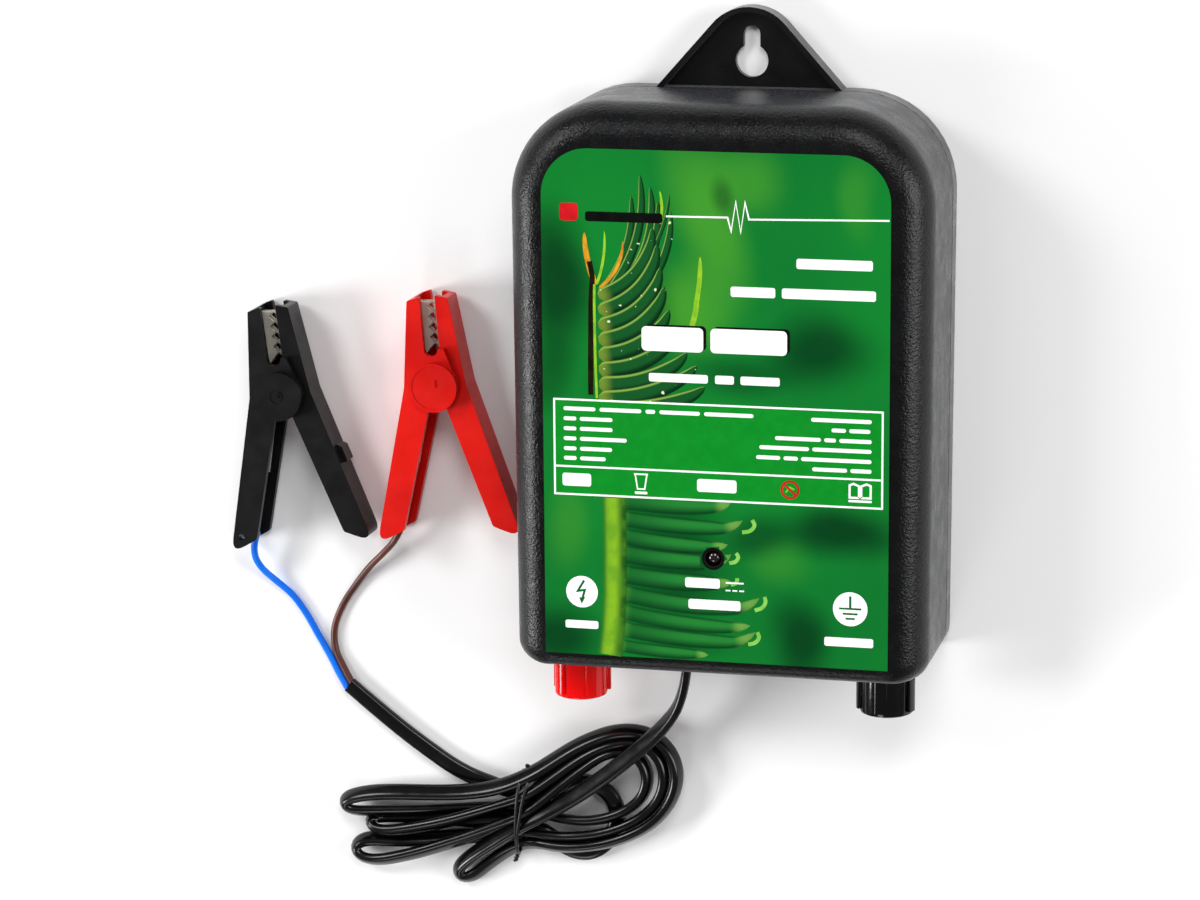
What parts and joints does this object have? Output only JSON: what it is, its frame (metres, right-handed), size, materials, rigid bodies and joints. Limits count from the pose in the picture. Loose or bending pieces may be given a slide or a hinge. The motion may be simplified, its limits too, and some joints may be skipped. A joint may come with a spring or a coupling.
{
  "type": "fence energizer",
  "caption": "Battery electric-fence energizer: rounded black case with a printed front and a keyhole hanger, two terminal knobs, and a tied flat cord with battery clips",
  "frame": {"origin": "centre of the bottom of the box round the energizer without its cord, as it lies on its back", "axes": "+Z out of the label, +Y towards the hanger, +X to the right seen from the front"},
  "size_m": [0.2319, 0.2877, 0.0513],
  "materials": {
    "case_plastic": "fine moulded texture, satin",
    "soft_seal": "matt",
    "label_film": "printed film, semi-gloss",
    "screw_steel": "zinc plated",
    "board_laminate": "green solder mask",
    "led_lens": "unlit tinted lens",
    "black_plastic": "moulded",
    "core_steel": "stacked laminations",
    "bobbin_plastic": "moulded",
    "copper_wire": "enamelled wire",
    "plated_steel": "nickel plated",
    "capacitor_case": "moulded box",
    "capacitor_sleeve": "shrink sleeve",
    "heat_sink_metal": "extruded",
    "resistor_body": "lacquered, colour bands",
    "fuse_glass": "clear",
    "contact_brass": "bare",
    "ferrite": "sintered",
    "lead_blue": "insulated lead",
    "lead_red": "insulated lead",
    "lead_black": "insulated lead",
    "cord_sheath": "smooth, semi-gloss",
    "tie_wire": "coated wire",
    "wire_blue": "smooth, semi-gloss",
    "wire_brown": "smooth, semi-gloss",
    "knob_red": "glossy",
    "knob_black": "glossy",
    "clip_black": "moulded, satin",
    "clip_red": "moulded, satin",
    "jaw_metal": "plated strip"
  },
  "bodies": {
    "root": {"front_shell": "case_plastic", "back_cover": "case_plastic", "case_seal": "soft_seal", "front_label": "label_film", "case_screws": "screw_steel", "circuit_board": "board_laminate", "board_screws": "screw_steel", "status_led": "led_lens", "led_holder": "black_plastic", "transformer_core": "core_steel", "transformer_bobbin": "bobbin_plastic", "primary_winding": "copper_wire", "secondary_winding": "copper_wire", "transformer_strap": "plated_steel", "storage_capacitor": "capacitor_case", "filter_capacitors": "capacitor_sleeve", "thyristor": "black_plastic", "heat_sink": "heat_sink_metal", "control_chip": "black_plastic", "resistors": "resistor_body", "diodes": "black_plastic", "fuse": "fuse_glass", "fuse_clips": "contact_brass", "choke_core": "ferrite", "choke_winding": "copper_wire", "power_leads": "lead_blue", "fence_lead": "lead_red", "earth_lead": "lead_black", "cord_grommet": "soft_seal", "fence_collar": "black_plastic", "fence_stud": "plated_steel", "fence_nut": "plated_steel", "fence_tag": "contact_brass", "earth_collar": "black_plastic", "earth_stud": "plated_steel", "earth_nut": "plated_steel", "earth_tag": "contact_brass", "cord_feed": "cord_sheath", "cord_hank": "cord_sheath", "cord_tie": "tie_wire", "cord_lead_out": "cord_sheath", "blue_wire": "wire_blue", "brown_wire": "wire_brown", "black_clip_fixed_half": "clip_black", "black_clip_rivet": "plated_steel", "black_clip_spring": "plated_steel", "black_clip_fixed_teeth": "jaw_metal", "red_clip_fixed_half": "clip_red", "red_clip_rivet": "plated_steel", "red_clip_spring": "plated_steel", "red_clip_fixed_teeth": "jaw_metal"},
    "fence_washer": {"fence_washer": "plated_steel"},
    "fence_knob": {"fence_knob": "knob_red"},
    "earth_washer": {"earth_washer": "plated_steel"},
    "earth_knob": {"earth_knob": "knob_black"},
    "black_clip_moving": {"black_clip_moving_half": "clip_black", "black_clip_moving_teeth": "jaw_metal"},
    "red_clip_moving": {"red_clip_moving_half": "clip_red", "red_clip_moving_teeth": "jaw_metal"}
  },
  "joints": [
    {"name": "fence_washer_slide", "type": "slide", "parent": "root", "child": "fence_washer", "axis": [0, -1, 0], "range_m": [0, 0.004]},
    {"name": "fence_knob_turn", "type": "hinge", "parent": "fence_washer", "child": "fence_knob", "pos_m": [-0.0487, -0.1, 0.025], "axis": [0, -1, 0], "range_deg": [0, 1440]},
    {"name": "earth_washer_slide", "type": "slide", "parent": "root", "child": "earth_washer", "axis": [0, -1, 0], "range_m": [0, 0.004]},
    {"name": "earth_knob_turn", "type": "hinge", "parent": "earth_washer", "child": "earth_knob", "pos_m": [0.0487, -0.1, 0.025], "axis": [0, -1, 0], "range_deg": [0, 1440]},
    {"name": "black_clip_opening", "type": "hinge", "parent": "root", "child": "black_clip_moving", "pos_m": [-0.1495, -0.018, 0.0085], "axis": [0, 0, -1], "range_deg": [0, 28], "stiffness_Nm_per_rad": 0.3, "springref_deg": -17.19},
    {"name": "red_clip_opening", "type": "hinge", "parent": "root", "child": "red_clip_moving", "pos_m": [-0.098, -0.013, 0.0085], "axis": [0, 0, -1], "range_deg": [0, 28], "stiffness_Nm_per_rad": 0.3, "springref_deg": -17.19}
  ],
  "couplings": [
    {"joint": "fence_knob_turn", "follows": "fence_washer_slide", "rad_per_m": 6283},
    {"joint": "earth_knob_turn", "follows": "earth_washer_slide", "rad_per_m": 6283}
  ]
}
